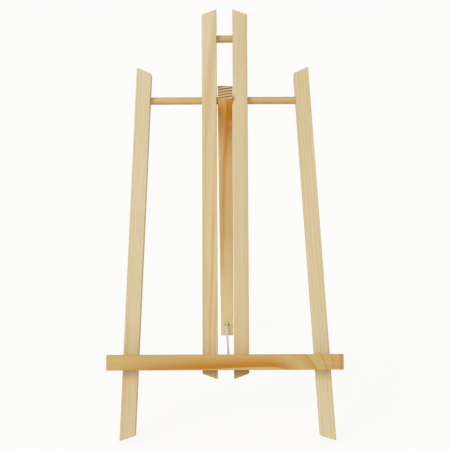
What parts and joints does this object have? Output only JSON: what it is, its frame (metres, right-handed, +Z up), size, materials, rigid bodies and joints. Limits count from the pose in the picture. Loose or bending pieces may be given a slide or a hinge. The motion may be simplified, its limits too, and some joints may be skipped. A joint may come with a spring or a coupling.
{
  "type": "display easel",
  "caption": "Small wooden tabletop display easel with splayed legs, central uprights, a front ledge and a rear leg that swings out on a dowel to a stay cord.",
  "frame": {"origin": "on the table, under the middle of the open easel's footprint", "axes": "+Z up, +X to the right as seen from the front, the front of the easel faces -Y and the rear leg stands towards +Y"},
  "size_m": [0.2476, 0.2906, 0.4269],
  "materials": {
    "pine_strips": "planed, bare",
    "pine_ledge": "planed, bare",
    "pine_rear_leg": "planed, bare",
    "birch_dowel": "turned, bare",
    "nylon_cord": "braided, matt",
    "zinc_wire": "galvanised wire"
  },
  "bodies": {
    "front_frame": {"left_leg": "pine_strips", "right_leg": "pine_strips", "left_upright": "pine_strips", "right_upright": "pine_strips", "ledge": "pine_ledge", "pivot_dowel": "birch_dowel", "top_dowel": "birch_dowel", "ledge_staple": "zinc_wire", "brad_left_leg": "zinc_wire", "brad_left_upright": "zinc_wire", "brad_right_leg": "zinc_wire", "brad_right_upright": "zinc_wire", "stay_cord": "nylon_cord"},
    "rear_leg": {"rear_leg": "pine_rear_leg", "rear_leg_staple": "zinc_wire"}
  },
  "joints": [
    {"name": "rear_leg_fold", "type": "hinge", "parent": "front_frame", "child": "rear_leg", "pos_m": [0.00135, 0.01563, 0.33333], "axis": [-1, 0, 0], "range_deg": [0, 44], "deforming": ["stay_cord"]}
  ]
}
